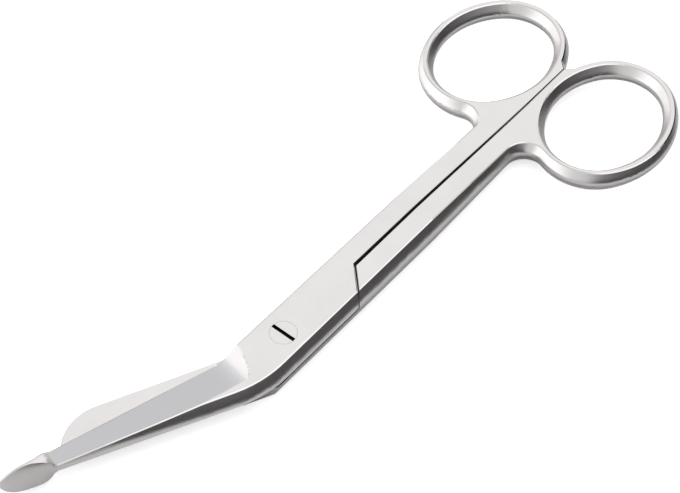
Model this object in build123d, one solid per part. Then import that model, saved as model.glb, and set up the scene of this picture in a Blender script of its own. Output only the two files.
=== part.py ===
from build123d import *
import os
from math import atan2, cos, degrees, radians, sin, sqrt, tan

# Bandage scissors lying flat. Millimetres. The pivot stands on the origin, z = 0 is the resting plane, +X runs
# along the handles towards the blades, and the blades bend towards -Y. Two forged halves lap at a box joint.
# Half widths and radii of the walls are those of the flat top faces, and the walls swell from there to the
# parting line at half the thickness.

# Box and shanks
box_thickness = 6.5
box_half_width = 4.1
box_widening = 0.35
side_bulge = 1.05
taper_start = 36.0
taper_end = 62.0
shank_narrowing = 0.65
shank_thickness_at_rings = 4.7
slip = 0.06

# Lap step behind the box, and the narrow wedge of air between the shanks
step_distance = 19.4
step_angle = 45.0
step_gap = 0.2
joint_gap_at_step = 0.42
joint_gap_at_rings = 0.08
rings_part_distance = 80.5
ring_tail_angle = 114.0

# Finger rings
ring_thickness = 4.3
ring_distance = 76.6
ring_offset = 12.9
ring_half_length = 14.0
ring_half_width = 11.4
ring_end_radius = 9.95
ring_tilt = 4.0
ring_flat = 1.0
ring_bulge_outside = 0.8
ring_bulge_inside = 1.1
web_radius = 4.5

# Both blades bend to the same side
blade_bend = 25.9
shoulder_radius = 2.5
shoulder_skew = 9.0
bevel_width = 0.3
bevel_height = 0.55
bevel_run_in = 0.6

# Probe blade
probe_bend_start = 4.85
probe_bend_radius = 22.0
probe_blade_length = 32.0
probe_heel_place = -0.15
probe_heel_width = 8.5
probe_corner_run = 3.3
probe_neck_width = 3.73
probe_neck_swell = 0.48
probe_face_rise = 0.4
probe_face_slope = 0.355
probe_face_fall = 0.065
probe_shoulder_place = -2.7

# Blunt blade
blunt_bend_start = 6.6
blunt_bend_radius = 6.0
blunt_straight_length = 23.7
blunt_blade_width = 7.2
blunt_tip_radius = 7.9
blunt_tip_corner = 1.5
blunt_heel_place = -0.5
blunt_corner_run = 4.5
blunt_face_rise = 0.1
blunt_face_slope = 0.36
blunt_face_fall = 0.012
blunt_shoulder_place = 1.6

# Flattened probe at the end of its blade
probe_breadth = 6.0
probe_length = 9.9
probe_neck_step = 0.02
probe_rim_inset = 0.8
probe_tip_inset = 0.95
tip_passing_radius = 43.75

# Pivot screw
screw_head_radius = 2.4
screw_head_height = 1.3
screw_shank_radius = 1.6
screw_slot_width = 0.7
screw_slot_depth = 0.75
running_clearance = 0.05
seat_clearance = 0.03

middle = box_thickness / 2
far = 150.0
levels = [-1.0, -0.7, -0.35, 0.0, 0.35, 0.7, 1.0]


def heading(angle):
    return Vector(cos(radians(angle)), sin(radians(angle)))


def prism(points, low, high):
    """A straight-sided block over a plan outline, from low to high."""
    outline = make_face(Polyline(*points, close=True))
    return Pos(0, 0, low) * extrude(outline, high - low)


def swell(level):
    """How far the shank's and blade's walls stand out at a level, from 0 at the parting line to 1 at the top."""
    return side_bulge * (1 - level**2)


def ring_swell(level, bulge):
    """The same for the ring's walls, whose top faces lie lower."""
    share = min(abs(level) * box_thickness / ring_thickness, 1.1)
    return bulge * (1 - share**2)


def ring_arc(centre, radius, start, end):
    """An arc about a point of the finger ring's own frame, whose x runs along its longer axis."""
    place = Pos(-ring_distance, -ring_offset) * Rot(0, 0, -ring_tilt)
    return place * CenterArc(centre, radius, start, end - start)


def ring_shape():
    """Centre distances and radii of the four tangent arcs of the ring's oval, and where they join."""
    end_centre = ring_half_length - ring_end_radius
    rise = ring_half_width - ring_end_radius
    side_radius = (ring_half_width**2 + end_centre**2 - ring_end_radius**2) / (2 * rise)
    side_centre = side_radius - ring_half_width
    return end_centre, side_centre, side_radius, degrees(atan2(side_centre, end_centre))


def oval(grow):
    """The ring's oval, grown by an even width."""
    end_centre, side_centre, side_radius, join = ring_shape()
    return make_face(
        Curve()
        + [
            ring_arc((end_centre, 0), ring_end_radius + grow, -join, join),
            ring_arc((0, -side_centre), side_radius + grow, join, 180 - join),
            ring_arc((-end_centre, 0), ring_end_radius + grow, 180 - join, 180 + join),
            ring_arc((0, side_centre), side_radius + grow, 180 + join, 360 - join),
        ]
    )


def ring_and_web(out, grow):
    """The outline from where the rings part, round the ring, to the web arc that runs into the shank."""
    end_centre, side_centre, side_radius, join = ring_shape()
    radius = ring_end_radius + grow
    web = web_radius - out
    centre = ring_arc((end_centre, 0), 1, 0, 180)
    centre = (centre @ 0 + centre @ 1) / 2
    box_side = Vector(-taper_start, -box_half_width - out)
    ring_side = Vector(-taper_end, shank_narrowing - box_half_width - out)
    along = (ring_side - box_side).normalized()
    outwards = Vector(along.Y, -along.X)
    if outwards.Y > 0:
        outwards = -outwards
    # the web arc stands off the shank by its radius, and off the ring's end arc by both radii
    offset = (centre - box_side).dot(outwards) - web
    reach = (centre - box_side).dot(along) - sqrt((radius + web) ** 2 - offset**2)
    web_centre = box_side + along * reach + outwards * web
    on_shank = box_side + along * reach
    towards = (web_centre - centre).normalized()
    on_ring = centre + towards * radius
    web_middle = web_centre - (towards + outwards).normalized() * web
    meets = degrees(atan2(towards.Y, towards.X)) + ring_tilt
    return [
        ring_arc((0, -side_centre), side_radius + grow, ring_tail_angle, 180 - join),
        ring_arc((-end_centre, 0), radius, 180 - join, 180 + join),
        ring_arc((0, side_centre), side_radius + grow, 180 + join, 360 - join),
        ring_arc((end_centre, 0), radius, -join, meets),
        ThreePointArc(on_ring, web_middle, on_shank),
        Line(on_shank, box_side),
    ]


def probe_spine(out):
    """Where the bend ends on the probe blade's spine, and the wall that leads there from the box."""
    centre = Vector(probe_bend_start, box_half_width - probe_bend_radius)
    bend = CenterArc(centre, probe_bend_radius + out, 90, -blade_bend)
    return centre + heading(90 - blade_bend) * probe_bend_radius, bend


def blunt_spine(out):
    """The same for the blunt blade, drawn upside down: its spine is on the inside of the bend."""
    centre = Vector(blunt_bend_start, box_half_width + blunt_bend_radius)
    bend = CenterArc(centre, blunt_bend_radius - out, -90, blade_bend)
    return centre + heading(blade_bend - 90) * blunt_bend_radius, bend


def probe_outline(out):
    """From the -Y side of the box round the probe blade to the +Y side, for walls standing out by out."""
    start, bend = probe_spine(out)
    along, across = heading(-blade_bend), heading(90 - blade_bend)
    neck_spine = start + along * probe_blade_length + across * out * probe_neck_swell
    neck_edge = start + along * probe_blade_length - across * probe_neck_width
    heel = start + along * probe_heel_place - across * probe_heel_width
    box_corner = Vector(heel.X - probe_corner_run, -box_half_width - box_widening - out)
    return [
        Line(box_corner, heel),
        Line(heel, neck_edge),
        Line(neck_edge, neck_spine),
        Line(neck_spine, bend @ 1),
        bend,
    ], box_corner, bend @ 0


def blunt_outline(out):
    """The same for the blunt blade, drawn upside down."""
    start, bend = blunt_spine(out)
    along, across = heading(blade_bend), heading(90 + blade_bend)
    tip_centre = start + along * blunt_straight_length - across * blunt_tip_radius
    reach = blunt_tip_radius + out
    tip = CenterArc(tip_centre, reach, 90 + blade_bend, -78)
    tip_edge = tip_centre + along * (reach - blunt_tip_corner) - across * (blunt_blade_width - blunt_tip_radius)
    heel = start + along * blunt_heel_place - across * blunt_blade_width
    box_corner = Vector(heel.X - blunt_corner_run, -box_half_width - out)
    return [
        Line(box_corner, heel),
        Line(heel, tip_edge),
        Line(tip_edge, tip @ 1),
        tip,
        Line(tip @ 0, bend @ 1),
        bend,
    ], box_corner, bend @ 0


def plan(level, outline):
    """The whole half's outline at one level: ring, web, shank, box over its full width, and blade."""
    out = swell(level)
    width = box_half_width + out
    blade, corner, spine = outline(out)
    grip = ring_and_web(out, ring_flat + ring_swell(level, ring_bulge_outside))
    under = -step_distance - 2 * box_half_width
    edges = blade + [
        Line(spine, (under, width)),
        Line((under, width), (under, 1)),
        Line((under, 1), (-rings_part_distance, 1)),
        Line((-rings_part_distance, 1), grip[0] @ 0),
        *grip,
        Line(grip[-1] @ 1, corner),
    ]
    return Pos(0, 0, middle * (1 + level)) * make_face(Curve() + edges)


def finger_hole():
    """What the ring is open for, narrowest at the parting line."""
    swells = [-ring_swell(level, ring_bulge_inside) for level in levels]
    rims = [Pos(0, 0, middle * (1 + level)) * oval(grow) for level, grow in zip(levels, swells)]
    hole = loft([rim.face() for rim in rims])
    cap = extrude(oval(swells[0]), 1)
    return hole + Pos(0, 0, -1) * cap + Pos(0, 0, box_thickness) * cap


def thinning():
    """What is ground off the top and bottom, from the shank back to the ring."""
    at_web = (box_thickness - shank_thickness_at_rings) / 2
    at_ring = (box_thickness - ring_thickness) / 2
    profile = Polyline(
        (-taper_start, 0),
        (-taper_end, at_web),
        (-taper_end - 8, at_ring),
        (-far, at_ring),
        (-far, -1),
        (-taper_start, -1),
        close=True,
    )
    below = extrude(Plane.XZ * make_face(profile), far / 2, both=True)
    return below + below.mirror(Plane.XY.offset(middle))


def behind_joint():
    """The other half's side of the joint face between the shanks and rings."""
    slope = (joint_gap_at_step - joint_gap_at_rings) / 2 / (ring_distance - step_distance)
    at_step = joint_gap_at_step / 2
    back = at_step - slope * (far - step_distance)
    lap_side = -step_distance + step_gap / 2
    rise = box_half_width * 2
    return prism(
        [
            (-far, -back),
            (lap_side, -at_step),
            (lap_side + (rise + at_step) / tan(radians(step_angle)), rise),
            (-far, rise),
        ],
        -1,
        box_thickness + 1,
    )


def under_lap():
    """The lower layer in front of the step, where the other half's lap lies."""
    edge = -step_distance - step_gap / 2
    rise = box_half_width * 2
    run = rise / tan(radians(step_angle))
    outline = [(edge, 0), (edge + run, -rise), (edge + run, -far), (far, -far), (far, far), (edge, far)]
    return prism(outline, -1, middle + slip / 2)


def face_cutter(start, along, across, rise, slope, fall, place):
    """Takes a blade's outer face down from the spine to the edge, with the curved shoulder at the box."""
    ground = Plane(
        origin=Vector(start.X, start.Y, box_thickness + rise),
        x_dir=along - Vector(0, 0, fall),
        z_dir=along * fall - across * slope + Vector(0, 0, 1),
    )
    radius = shoulder_radius
    profile = Curve() + [
        Line((place, 0), (far, 0)),
        Line((far, 0), (far, 4 * radius)),
        Line((far, 4 * radius), (place - radius, 4 * radius)),
        Line((place - radius, 4 * radius), (place - radius, radius)),
        RadiusArc((place - radius, radius), (place, 0), -radius),
    ]
    return ground.location * Rot(0, 0, shoulder_skew) * extrude(Plane.XZ * make_face(profile), far / 4, both=True)


def bevel_cutter(start, end):
    """The narrow bevel along a cutting edge that runs from start to end."""
    along = (end - start).normalized()
    inwards = Vector(-along.Y, along.X)
    low = middle + slip / 2
    section = Polyline(
        (0, 0),
        (bevel_width, bevel_height),
        (bevel_width, bevel_height + 1),
        (-1, bevel_height + 1),
        (-1, 0),
        close=True,
    )
    stand = Plane(origin=start + along * bevel_run_in + Vector(0, 0, low), x_dir=inwards, z_dir=along)
    return extrude(stand * make_face(section), (end - start).length - bevel_run_in + 4)


def neck_edge():
    """Height of the spine wall's upper edge at the probe blade's neck, and how far it stands out there."""
    height, out = box_thickness, 0.0
    for _ in range(20):
        out = swell(height / middle - 1) * probe_neck_swell
        spine = box_thickness + probe_face_rise - probe_face_fall * probe_blade_length
        height = spine + probe_face_slope * out
    return height, out


def probe_section(rim, upper, lower, sole, crest):
    """A section of the probe: its sole's arc, and the hump that rises from its two rims to a crest."""
    top = Vector(rim, middle + upper)
    bottom = Vector(rim, middle - lower)
    ridge = Vector(crest, middle)
    fullness = 0.7
    across = rim + fullness * (crest - rim)
    return make_face(
        Curve()
        + [
            ThreePointArc(bottom, (sole, (top.Y + bottom.Y) / 2), top),
            ThreePointArc(top, (across, middle + fullness * upper), ridge),
            ThreePointArc(ridge, (across, middle - fullness * lower), bottom),
        ]
    )


def flattened_probe(start, along, across):
    """Swells from the blade's end section into a flattened bulb, convex on its sole and humped inside."""
    top, top_out = neck_edge()
    top -= probe_neck_step
    top_out -= probe_neck_step
    low = middle + slip / 2
    low_out = side_bulge * probe_neck_swell - probe_neck_step
    neck = make_face(
        Curve()
        + [
            ThreePointArc((-low_out, low), (-(low_out + top_out) / 2 - 0.03, (low + top) / 2), (-top_out, top)),
            Line((-top_out, top), (probe_neck_width, low)),
            Line((probe_neck_width, low), (-low_out, low)),
        ]
    )
    breadth = probe_breadth / 2
    rim = probe_rim_inset
    # place along the probe, then its section there
    sections = [
        (0.0, neck),
        (0.22, probe_section(0.55 * rim, 0.93 * breadth, 0.93 * breadth, -1.0, 3.35)),
        (0.40, probe_section(1.0 * rim, breadth, breadth, -1.2, 2.6)),
        (0.62, probe_section(0.95 * rim, 0.98 * breadth, 0.98 * breadth, -1.1, 2.15)),
        (0.90, probe_section(0.8 * rim, 0.58 * breadth, 0.58 * breadth, -0.4, 1.6)),
        (0.97, probe_section(0.95 * rim, 0.33 * breadth, 0.33 * breadth, 0.2, 1.35)),
    ]
    faces = []
    for place, section in sections:
        origin = start + along * (probe_blade_length + probe_length * place)
        faces.append((Plane(origin=origin, x_dir=-across, z_dir=-along) * section).face())
    tip = start + along * (probe_blade_length + probe_length) - across * probe_tip_inset
    return loft(faces + [Vertex(tip.X, tip.Y, middle)])


def forging(outline, start, bend, rise, slope, fall, place):
    """One half as forged and ground, with its lap on top and its ring on the -Y side."""
    along, across = heading(bend), heading(90 + bend)
    solid = loft([plan(level, outline).face() for level in levels])
    solid = solid - finger_hole() - thinning() - behind_joint() - under_lap()
    solid -= face_cutter(start, along, across, rise, slope, fall, place)
    blade, _, _ = outline(0)
    return solid - bevel_cutter(blade[1] @ 0, blade[1] @ 1)


def pivot_bore():
    """The upper half's running bore and the recess that the screw's head lies in."""
    bore = Cylinder(screw_shank_radius + running_clearance, 2 * far)
    recess = Cylinder(screw_head_radius + running_clearance, far, align=(Align.CENTER, Align.CENTER, Align.MIN))
    return bore + Pos(0, 0, box_thickness - screw_head_height - seat_clearance) * recess


def probe_half():
    """The upper half: its blade ends in the flattened probe."""
    start, _ = probe_spine(0)
    half = forging(
        probe_outline,
        start,
        -blade_bend,
        probe_face_rise,
        probe_face_slope,
        probe_face_fall,
        probe_shoulder_place,
    )
    half += flattened_probe(start, heading(-blade_bend), heading(90 - blade_bend))
    # the probe hangs down in front of the blunt blade's tip, which passes it as the blades close
    upright = (Align.CENTER, Align.CENTER, Align.MIN)
    swept = Cylinder(tip_passing_radius, middle + slip / 2, align=upright)
    passing = swept & Pos(far / 2, 0, 0) * Box(far, far, box_thickness)
    return half - passing - pivot_bore()


def blunt_half():
    """The lower half, drawn upside down and turned over into its place."""
    start, _ = blunt_spine(0)
    half = forging(
        blunt_outline,
        start,
        blade_bend,
        blunt_face_rise,
        blunt_face_slope,
        blunt_face_fall,
        blunt_shoulder_place,
    )
    half = Pos(0, 0, box_thickness) * Rot(180, 0, 0) * half
    return half - Cylinder(screw_shank_radius, 2 * far)


def pivot_screw():
    """Flush at both ends, fast in the lower half, with a slot right across its head."""
    upright = (Align.CENTER, Align.CENTER, Align.MIN)
    shank = Cylinder(screw_shank_radius, box_thickness, align=upright)
    under_head = box_thickness - screw_head_height
    head = Pos(0, 0, under_head) * Cylinder(screw_head_radius, screw_head_height, align=upright)
    slot = Pos(0, 0, box_thickness) * Box(screw_slot_width, 3 * screw_head_radius, 2 * screw_slot_depth)
    return shank + head - slot


if __name__ == "__main__":
    os.makedirs("parts", exist_ok=True)
    export_step(probe_half(), "parts/probe_half.step")
    export_step(blunt_half(), "parts/blunt_half.step")
    export_step(pivot_screw(), "parts/pivot_screw.step")
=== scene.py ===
import bmesh
import bpy
from math import asin, atan2, cos, pi, radians, sin, sqrt
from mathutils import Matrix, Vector
from mathutils.kdtree import KDTree


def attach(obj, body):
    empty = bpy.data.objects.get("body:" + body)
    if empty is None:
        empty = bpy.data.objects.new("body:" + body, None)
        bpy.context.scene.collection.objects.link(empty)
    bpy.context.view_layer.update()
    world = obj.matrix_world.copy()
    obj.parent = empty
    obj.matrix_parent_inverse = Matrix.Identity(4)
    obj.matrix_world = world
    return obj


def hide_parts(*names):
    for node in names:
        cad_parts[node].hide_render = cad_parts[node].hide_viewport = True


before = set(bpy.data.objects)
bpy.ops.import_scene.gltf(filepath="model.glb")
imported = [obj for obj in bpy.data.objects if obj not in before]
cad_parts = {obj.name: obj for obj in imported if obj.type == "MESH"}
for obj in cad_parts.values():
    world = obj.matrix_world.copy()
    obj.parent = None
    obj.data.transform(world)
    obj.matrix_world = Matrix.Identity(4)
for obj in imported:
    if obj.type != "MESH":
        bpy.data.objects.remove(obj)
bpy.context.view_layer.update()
scene = bpy.context.scene

# The camera stands on the finger rings' right-hand side, high up, with a long lens.
# It looks at the middle of the shanks' top faces.
shank_middle = Vector((-0.020656, -0.004595, 0.0065))
camera = bpy.data.objects.new("camera", bpy.data.cameras.new("camera"))
scene.collection.objects.link(camera)
camera.data.sensor_width = 36
camera.data.lens = 115.52
camera.data.clip_start = 0.01
camera.data.clip_end = 20
camera.location = (0.163091, 0.148542, 0.308255)
camera.rotation_euler = (shank_middle - camera.location).to_track_quat("-Z", "Y").to_euler()
scene.camera = camera

# The lower half is one drop forging of martensitic stainless steel: ring, shank, box and the blade with the blunt tip.
# It is belt ground, brought to a fine satin and polished over the edges, which are broken so that none is sharp
# to the hand.
weld_gap = 0.00003
sliver_length = 0.00001
flat_angle = radians(0.3)
flat_facing = 0.9
flat_area = 0.3e-6
break_width = 0.00014
least_fall = 0.2
near_count = 24
near_reach = 0.0004
near_facing = 0.8
wall_limit = radians(50)
belly_lean = radians(44)
belly_reach = radians(38)
belly_power = 3.2
belly_end = 0.0432


def within(value, low=0, high=1):
    """The value, held between two limits."""
    return max(low, min(high, value))


def forging_copy(node):
    """The forging as the frame has it, with its loose triangles merged and its flats made whole."""
    shape = bmesh.new()
    shape.from_mesh(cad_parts[node].data)
    bmesh.ops.remove_doubles(shape, verts=shape.verts, dist=weld_gap)
    bmesh.ops.dissolve_degenerate(shape, edges=shape.edges, dist=sliver_length)
    bmesh.ops.dissolve_limit(shape, angle_limit=flat_angle, verts=shape.verts, edges=shape.edges)
    return shape


def break_edges(shape, width):
    """A narrow flat along the rim of the broad flats: in by the width on them, and down by it on the walls."""
    flats = [face for face in shape.faces if abs(face.normal.z) > flat_facing and face.calc_area() > flat_area]
    rims = bmesh.ops.inset_region(
        shape, faces=flats, thickness=width, depth=0, use_boundary=True, use_even_offset=True
    )["faces"]
    strip = set(rims)
    inner = set(flats)
    moves = {}
    for rim_face in rims:
        for vert in rim_face.verts:
            if vert in moves or any(face in inner for face in vert.link_faces):
                continue
            walls = [face.normal for face in vert.link_faces if face not in strip]
            if not walls:
                continue
            wall = sum(walls, Vector()).normalized()
            up = sum((face.normal for face in vert.link_faces if face in strip), Vector()).normalized()
            down = wall * up.dot(wall) - up
            if down.length > least_fall:
                moves[vert] = down.normalized() * width
    for vert, move in moves.items():
        vert.co += move
    shape.normal_update()
    return strip


def rounder(lean):
    """A wall's direction turned further up or down, as on the real forging, whose belly is nearly round."""
    tilt = asin(within(lean.z, -1))
    if abs(tilt) > wall_limit:
        return lean.copy()
    turned = belly_lean * (1 - (1 - within(abs(tilt) / belly_reach)) ** belly_power)
    level = Vector((lean.x, lean.y, 0)).normalized() * cos(turned)
    return Vector((level.x, level.y, sin(turned) if tilt > 0 else -sin(turned)))


def forged_normals(node, mesh, even, soften):
    """The way each corner faces: with its face on the broken edges, and as the forging's own surface elsewhere."""
    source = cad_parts[node].data
    nearby = KDTree(len(source.loops))
    for corner in source.loops:
        nearby.insert(source.vertices[corner.vertex_index].co, corner.index)
    nearby.balance()
    leans = [corner.vector.copy() for corner in source.corner_normals]
    normals = []
    for face in mesh.polygons:
        for index in face.loop_indices:
            if even[face.index]:
                normals.append(face.normal.copy())
                continue
            spot = mesh.vertices[mesh.loops[index].vertex_index].co
            found = [leans[corner] for place, corner, gap in nearby.find_n(spot, near_count) if gap < near_reach]
            lean = max(found, key=face.normal.dot) if found else face.normal
            if lean.dot(face.normal) < near_facing:
                lean = face.normal
            lean = rounder(lean) if spot.x < belly_end else lean.copy()
            normals.append(soften(spot, lean, face) if soften else lean)
    mesh.normals_split_custom_set(normals)


def forged_piece(node, shape, strip, finishes, soften=None):
    """The finished forging as a piece of the scene, in the node's place."""
    for face in shape.faces:
        face.smooth = True
    even = [face in strip for face in shape.faces]
    mesh = bpy.data.meshes.new(node + "_steel")
    shape.to_mesh(mesh)
    shape.free()
    for stored in [attribute for attribute in mesh.attributes if "normal" in attribute.name]:
        mesh.attributes.remove(stored)
    forged_normals(node, mesh, even, soften)
    for finish in finishes:
        mesh.materials.append(finish)
    piece = bpy.data.objects.new(node + "_steel", mesh)
    scene.collection.objects.link(piece)
    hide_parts(node)
    return piece


# Fine grain of the satin wheel, drawn out along the handles, over the slow cloudiness of a hand-held grind.
grain_draw = (0.12, 1, 1)
grain_scale = 7000
grain_detail = 2
grain_low, grain_high = 0.3, 0.7
grain_height = 0.00001
cloud_scale = 130
cloud_detail = 3
cloud_roughness = 0.6
satin = bpy.data.node_groups.new("satin grain", "ShaderNodeTree")
satin.interface.new_socket(name="Cloud", in_out="OUTPUT", socket_type="NodeSocketFloat")
satin.interface.new_socket(name="Grain", in_out="OUTPUT", socket_type="NodeSocketFloat")
made = satin.nodes.new("NodeGroupOutput")
place = satin.nodes.new("ShaderNodeTexCoord")
drawn = satin.nodes.new("ShaderNodeMapping")
drawn.inputs["Scale"].default_value = grain_draw
satin.links.new(place.outputs["Object"], drawn.inputs["Vector"])
grain = satin.nodes.new("ShaderNodeTexNoise")
grain.inputs["Scale"].default_value = grain_scale
grain.inputs["Detail"].default_value = grain_detail
satin.links.new(drawn.outputs["Vector"], grain.inputs["Vector"])
satin.links.new(grain.outputs["Fac"], made.inputs["Grain"])
cloud = satin.nodes.new("ShaderNodeTexNoise")
cloud.inputs["Scale"].default_value = cloud_scale
cloud.inputs["Detail"].default_value = cloud_detail
cloud.inputs["Roughness"].default_value = cloud_roughness
satin.links.new(place.outputs["Object"], cloud.inputs["Vector"])
satin.links.new(cloud.outputs["Fac"], made.inputs["Cloud"])


def steel(name, light, dark, smooth, dull, relief):
    """A steel that runs between two tones and two roughnesses with the grind's clouds and grain."""
    finish = bpy.data.materials.new(name)
    finish.use_nodes = True
    tree = finish.node_tree
    shader = tree.nodes["Principled BSDF"]
    shader.inputs["Metallic"].default_value = 1
    pattern = tree.nodes.new("ShaderNodeGroup")
    pattern.node_tree = satin
    tone = tree.nodes.new("ShaderNodeMix")
    tone.data_type = "RGBA"
    first, second = [socket for socket in tone.inputs if socket.type == "RGBA"]
    first.default_value = (*dark, 1)
    second.default_value = (*light, 1)
    mixed = next(socket for socket in tone.outputs if socket.type == "RGBA")
    tree.links.new(pattern.outputs["Cloud"], tone.inputs["Factor"])
    tree.links.new(mixed, shader.inputs["Base Color"])
    rough = tree.nodes.new("ShaderNodeMapRange")
    rough.inputs["From Min"].default_value = grain_low
    rough.inputs["From Max"].default_value = grain_high
    rough.inputs["To Min"].default_value = smooth
    rough.inputs["To Max"].default_value = dull
    tree.links.new(pattern.outputs["Grain"], rough.inputs["Value"])
    tree.links.new(rough.outputs["Result"], shader.inputs["Roughness"])
    bump = tree.nodes.new("ShaderNodeBump")
    bump.inputs["Strength"].default_value = relief
    bump.inputs["Distance"].default_value = grain_height
    tree.links.new(pattern.outputs["Grain"], bump.inputs["Height"])
    tree.links.new(bump.outputs["Normal"], shader.inputs["Normal"])
    return finish


satin_steel = steel(
    "satin steel", light=(0.63, 0.615, 0.612), dark=(0.56, 0.545, 0.542), smooth=0.28, dull=0.33, relief=0.03
)
buffed_steel = steel(
    "buffed edge", light=(0.63, 0.615, 0.612), dark=(0.57, 0.555, 0.552), smooth=0.1, dull=0.14, relief=0.02
)
finishes = [satin_steel, buffed_steel]
shape = forging_copy("blunt_half")
strip = break_edges(shape, break_width)
for face in strip:
    face.material_index = finishes.index(buffed_steel)
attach(forged_piece("blunt_half", shape, strip, finishes), "lower")

# The upper half is a second forging of the same steel, whose blade ends in the flattened probe.
# Its blade is ground on the outside down to the cutting edge, and the wheel leaves a soft hollow at the shoulder.
# The probe is rolled over along a rim, and is left a little duller than the rest.
ground_steel = steel(
    "ground steel", light=(0.555, 0.558, 0.573), dark=(0.535, 0.538, 0.553), smooth=0.275, dull=0.295, relief=0.02
)
blunted_steel = steel(
    "blunted steel", light=(0.60, 0.585, 0.582), dark=(0.53, 0.515, 0.512), smooth=0.30, dull=0.36, relief=0.03
)
finishes = [satin_steel, buffed_steel, ground_steel, blunted_steel]
spine_width = 0.00017
upward = Vector((0, 0, 1))
blade_turn = radians(25.9)
blade_run = Vector((cos(blade_turn), -sin(blade_turn), 0))
spine_side = Vector((sin(blade_turn), cos(blade_turn), 0))
ground_facing = 0.97
ground_match = 0.999
ground_exact = 0.9999
ground_area = 1e-6

shape = forging_copy("probe_half")
ground = max(
    (face for face in shape.faces if flat_facing < face.normal.z < ground_facing), key=lambda face: face.calc_area()
)
ground_lean = ground.normal.copy()
corners = sorted((vert.co.dot(blade_run), vert.co.copy()) for vert in ground.verts)


def cut_faces(faces, spot, side):
    """Cuts the given faces of the forging along a plane."""
    around = {edge for face in faces for edge in face.edges} | {vert for face in faces for vert in face.verts}
    bmesh.ops.bisect_plane(shape, geom=[*faces, *around], plane_co=spot, plane_no=side)


# The shoulder, where the ground face turns up into the box.
box_end = 0.002
soft_cuts = (0.1, 0.2, 0.32, 0.46, 0.62, 0.8, 1)
soft_length = 0.0045
soft_lean = radians(15)
soft_power = 1.5
fillet_length = 0.0032
fillet_start = radians(-1)
fillet_lean = radians(36)
fillet_reach = radians(40)
fillet_across = 0.3
top_facing = 0.998
crest_gap = 0.0003
crest_facing = 0.2
shoulder_foot = corners[0][1]
shoulder_across = (corners[1][1] - shoulder_foot).normalized()
shoulder_out = shoulder_across.cross(ground_lean).normalized()
if shoulder_out.dot(blade_run) < 0:
    shoulder_out = -shoulder_out
for share in soft_cuts:
    level_with_ground = [face for face in shape.faces if face.normal.dot(ground_lean) > ground_exact]
    tops = [face for face in level_with_ground if face.calc_area() > ground_area]
    cut_faces(tops, shoulder_foot + shoulder_out * soft_length * share, shoulder_out)

# The probe's rim: how far past the neck each of its points lies, how far out to the spine's side, and how high.
neck_run = 0.0004
rim_line = (
    (-0.0001, 0.00838, 0.00494),
    (0.00036, 0.00794, 0.0049),
    (0.00111, 0.00779, 0.00547),
    (0.00203, 0.00762, 0.00598),
    (0.00377, 0.00722, 0.00622),
    (0.00543, 0.007, 0.00613),
    (0.0084, 0.00735, 0.00531),
)
rim_facing = spine_side * 0.55 + upward * 0.83
rim_least = 0.2
rim_gap = 0.0001
rim_lean = radians(31)
rim_width = 0.0024
rim_power = 2
sole_facing = 0.1
sole_rim = radians(67)
sole_lean = radians(22)
tip_start = 0.005
tip_length = 0.003
roll_in = 0.0014
roll_in_power = 3
roll_end = radians(145)
roll_top = radians(68)
roll_rate = 2.6
hollow = 0.38
hollow_power = 1.5
neck_end = corners[-1][0]
neck_reach = neck_end - neck_run
rim = [blade_run * (neck_end + past) + spine_side * out + upward * high for past, out, high in rim_line]
rim_sides = [(after - before).cross(rim_facing).normalized() for before, after in zip(rim, rim[1:])]


def rim_part(middle):
    """Which part of the rim lies beside a place."""
    return max([0] + [part for part in range(len(rim_sides)) if (middle - rim[part]).dot(blade_run) > 0])


for spot in rim:
    cut_faces([face for face in shape.faces if face.calc_center_median().dot(blade_run) > neck_reach], spot, blade_run)
for part, side in enumerate(rim_sides):
    beside = [
        face
        for face in shape.faces
        if face.normal.dot(rim_facing) > rim_least
        and face.calc_center_median().dot(blade_run) > neck_end - rim_gap
        and rim_part(face.calc_center_median()) == part
    ]
    cut_faces(beside, rim[part], side)
shape.normal_update()


def probe_lean(spot, lean, face):
    """The probe's rolled rim: its sole stays nearly upright up to it, and the hump behind rolls over it."""
    part = rim_part(face.center)
    if face.center.dot(blade_run) < neck_end:
        above = face.normal.z > flat_facing
    else:
        above = (face.center - rim[part]).dot(rim_sides[part]) > 0
    sole = not above and face.normal.dot(spine_side) > sole_facing
    past = spot.dot(blade_run) - neck_end
    along = lean.dot(blade_run)
    turn = atan2(lean.z, lean.dot(spine_side))
    if sole:
        turn = sole_lean * within(turn / sole_rim, -1)
        below_rim = within(1 + (spot - rim[part]).dot(rim_sides[part]) / rim_width) ** rim_power
        turn += (rim_lean - turn) * below_rim * within(1 - (past - tip_start) / tip_length)
    elif 0 < turn < roll_end:
        turn = max(roll_top, roll_end - (roll_end - turn) * roll_rate)
    rolled = blade_run * along + (spine_side * cos(turn) + upward * sin(turn)) * sqrt(1 - along**2)
    if sole or face.normal.z < 0:
        return rolled
    share = within(past / roll_in)
    back = blade_run * hollow * sin(pi * share**hollow_power)
    return (ground_lean.lerp(rolled, share**roll_in_power) - back).normalized()


def blade_lean(spot, lean, face):
    """The wheel's run-out: the ground face turns up softly into the shoulder's fillet."""
    if spot.dot(blade_run) > neck_reach:
        return probe_lean(spot, lean, face) if lean.dot(ground_lean) < ground_match else lean
    along = (spot - shoulder_foot).dot(shoulder_out)
    across = lean.dot(shoulder_across)
    if spot.x < box_end or not -fillet_length < along < soft_length or abs(across) > fillet_across:
        return lean
    turn = atan2(lean.dot(shoulder_out), lean.dot(ground_lean))
    if turn < fillet_start or lean.z > top_facing:
        return lean
    soft = soft_lean * min(1, 1 - along / soft_length) ** soft_power
    turn = soft + (fillet_lean - soft) * min(1, turn / fillet_reach)
    turned = ground_lean * cos(turn) + shoulder_out * sin(turn)
    return (turned * sqrt(1 - across**2) + shoulder_across * across).normalized()


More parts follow.
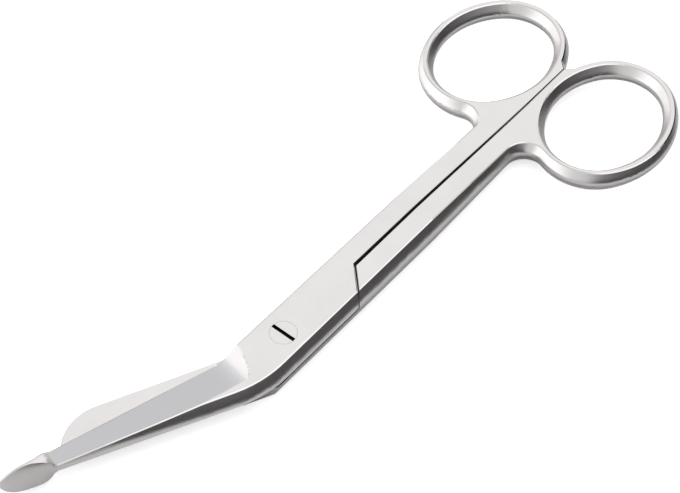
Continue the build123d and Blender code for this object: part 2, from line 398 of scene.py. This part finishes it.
def left_soft(face):
    """Whether a face of the broken edge lies on the shoulder's crest or beyond the neck, where none is broken."""
    middle = face.calc_center_median()
    if middle.dot(blade_run) >= neck_reach:
        return True
    on_crest = -fillet_length < (middle - shoulder_foot).dot(shoulder_out) < crest_gap
    return middle.x > box_end and on_crest and face.normal.dot(shoulder_out) > crest_facing


strip = {face for face in break_edges(shape, spine_width) if not left_soft(face)}

# The screw's seat is finished level with the box, so that its edge isn't broken.
seat_reach = 0.0028
seat_band = 0.0005
box_top = 0.0065
for vert in shape.verts:
    if vert.co.z > box_top - seat_band and Vector((vert.co.x, vert.co.y, 0)).length < seat_reach:
        vert.co.z = box_top
shape.normal_update()
for face in shape.faces:
    middle = face.calc_center_median()
    if face in strip and Vector((middle.x, middle.y, 0)).length > seat_reach:
        face.material_index = finishes.index(buffed_steel)
    elif face.normal.dot(ground_lean) > ground_match:
        face.material_index = finishes.index(ground_steel)
    elif middle.dot(blade_run) > neck_reach:
        face.material_index = finishes.index(blunted_steel)
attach(forged_piece("probe_half", shape, strip, finishes, blade_lean), "upper")

# The pivot screw is turned from stainless bar, with a flat head let in flush and a sawn slot across it.
# The slot's faces are a nearly black steel, rougher than the rest.
slot_steel = steel(
    "sawn slot", light=(0.03, 0.028, 0.027), dark=(0.018, 0.017, 0.017), smooth=0.5, dull=0.6, relief=0.2
)
finishes = [satin_steel, slot_steel]
head_radius = 0.0024
head_depth = 0.001
head_gap = 0.00001
head_fill = 0.000015
slot_end = 0.00008
shape = forging_copy("pivot_screw")
head_top = max(vert.co.z for vert in shape.verts)
for vert in shape.verts:
    out_by = Vector((vert.co.x, vert.co.y, 0))
    if vert.co.z > head_top - head_depth and abs(out_by.length - head_radius) < head_gap:
        vert.co += out_by.normalized() * head_fill
shape.normal_update()
for face in shape.faces:
    middle = face.calc_center_median()
    inside = Vector((middle.x, middle.y, 0)).length < head_radius - slot_end
    if inside and head_top - head_depth < middle.z < head_top - head_gap:
        face.material_index = finishes.index(slot_steel)
    else:
        face.material_index = finishes.index(satin_steel)
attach(forged_piece("pivot_screw", shape, set(shape.faces), finishes), "lower")

# The table is a sheet of white card on a bench, set a hair below the halves' flat undersides.
# It looks white to the camera. In the steel it shows a painted reflection: a glow that only the steel's reflections
# see, strong on the far side of the scissors and fading to none beneath them, so the walls facing the near side mirror
# it dim. The light that falls on it comes from the room alone, so the halves keep their faint shadow.
table_reach = 4
table_sink = 0.00002
card_white = (0.8, 0.8, 0.8, 1)
card_roughness = 0.9
camera_lift = 0.6
painted_reflection_glow = 1.1
painted_glow_start, painted_glow_end = -0.2, 0.0
table = bpy.data.objects.new("table", bpy.data.meshes.new("table"))
top = bmesh.new()
bmesh.ops.create_grid(top, x_segments=1, y_segments=1, size=table_reach)
bmesh.ops.translate(top, verts=top.verts, vec=(0, 0, -table_sink))
top.to_mesh(table.data)
top.free()
scene.collection.objects.link(table)


def eased(tree, source, start, end, at_start=0, at_end=1):
    """A level that eases from one value to another while its source runs from start to end."""
    step = tree.nodes.new("ShaderNodeMapRange")
    step.interpolation_type = "SMOOTHSTEP"
    step.inputs["From Min"].default_value = start
    step.inputs["From Max"].default_value = end
    step.inputs["To Min"].default_value = at_start
    step.inputs["To Max"].default_value = at_end
    tree.links.new(source, step.inputs["Value"])
    return step.outputs["Result"]


def worked(tree, operation, *terms):
    """One sum over other nodes' values and plain numbers."""
    result = tree.nodes.new("ShaderNodeMath")
    result.operation = operation
    for socket, term in zip(result.inputs, terms):
        if isinstance(term, float):
            socket.default_value = term
        else:
            tree.links.new(term, socket)
    return result.outputs["Value"]


card = bpy.data.materials.new("white card")
card.use_nodes = True
tree = card.node_tree
shader = tree.nodes["Principled BSDF"]
shader.inputs["Base Color"].default_value = card_white
shader.inputs["Roughness"].default_value = card_roughness
shader.inputs["Specular IOR Level"].default_value = 0
rays = tree.nodes.new("ShaderNodeLightPath").outputs
place = tree.nodes.new("ShaderNodeTexCoord")
apart = tree.nodes.new("ShaderNodeSeparateXYZ")
tree.links.new(place.outputs["Object"], apart.inputs["Vector"])
# Painted reflection: the card glows only where the steel mirrors it, strongly on the far side of the scissors and not
# at all near them.
painted_glow_level = eased(tree, apart.outputs["Y"], painted_glow_start, painted_glow_end, painted_reflection_glow, 0)
seen = worked(tree, "MAXIMUM", rays["Is Glossy Ray"], rays["Is Transmission Ray"])
painted_reflection = worked(tree, "MULTIPLY", seen, painted_glow_level)
lift = worked(tree, "MULTIPLY_ADD", rays["Is Camera Ray"], camera_lift, painted_reflection)
shader.inputs["Emission Color"].default_value = (1, 1, 1, 1)
tree.links.new(lift, shader.inputs["Emission Strength"])
table.data.materials.append(card)

# The studio is a white room, dimmer towards the floor. Broad soft lights stand high up across from the camera,
# low on the far side, low beyond the tips and overhead. The side walls mirror a dark doorway on the near side.
room_white = (1, 0.995, 0.997, 1)
wall_low, wall_high = 0.08, 0.32
wall_dim, wall_bright = 0.64, 1.0
high_light = (-0.477, -0.398, 0.784)
far_light = (0.05, -0.99, 0.08)
tip_light = (0.8, -0.56, 0.2)
over_light = (-0.25, 0.35, 0.9)
door_way = (-0.3, 0.954, 0.0)
door_middle, door_edge = 0.45, 0.2
door_top, door_over = 0.60, 0.74
door_glow = 0.02
world = bpy.data.worlds.new("studio")
scene.world = world
world.use_nodes = True
tree = world.node_tree
tree.nodes.clear()
out = tree.nodes.new("ShaderNodeOutputWorld")
room = tree.nodes.new("ShaderNodeBackground")
tree.links.new(room.outputs["Background"], out.inputs["Surface"])
direction = tree.nodes.new("ShaderNodeTexCoord").outputs["Generated"]


def towards(way, middle, edge):
    """1 towards a direction, falling to 0 away from it between two cosines."""
    lean = tree.nodes.new("ShaderNodeVectorMath")
    lean.operation = "DOT_PRODUCT"
    lean.inputs[1].default_value = Vector(way).normalized()
    tree.links.new(direction, lean.inputs[0])
    return eased(tree, lean.outputs["Value"], edge, middle)


def lit(under, share, brightness):
    """Runs the room's brightness over to another where the share is 1."""
    mix = tree.nodes.new("ShaderNodeMix")
    mix.data_type = "FLOAT"
    tree.links.new(share, mix.inputs["Factor"])
    tree.links.new(under, mix.inputs["A"])
    mix.inputs["B"].default_value = brightness
    return mix.outputs["Result"]


split = tree.nodes.new("ShaderNodeSeparateXYZ")
tree.links.new(direction, split.inputs["Vector"])
height = split.outputs["Z"]
glow = eased(tree, height, wall_low, wall_high, wall_dim, wall_bright)
glow = lit(glow, towards(high_light, middle=0.95, edge=0.84), brightness=1.38)
glow = lit(glow, towards(far_light, middle=0.965, edge=0.87), brightness=1.75)
glow = lit(glow, towards(tip_light, middle=0.95, edge=0.76), brightness=2.0)
door_height = eased(tree, height, door_top, door_over, at_start=1, at_end=0)
door = worked(tree, "MULTIPLY", towards(door_way, door_middle, door_edge), door_height)
glow = lit(glow, door, door_glow)
glow = lit(glow, towards(over_light, middle=0.96, edge=0.86), brightness=1.7)
tree.links.new(glow, room.inputs["Strength"])
room.inputs["Color"].default_value = room_white

scene.view_settings.view_transform = "Standard"
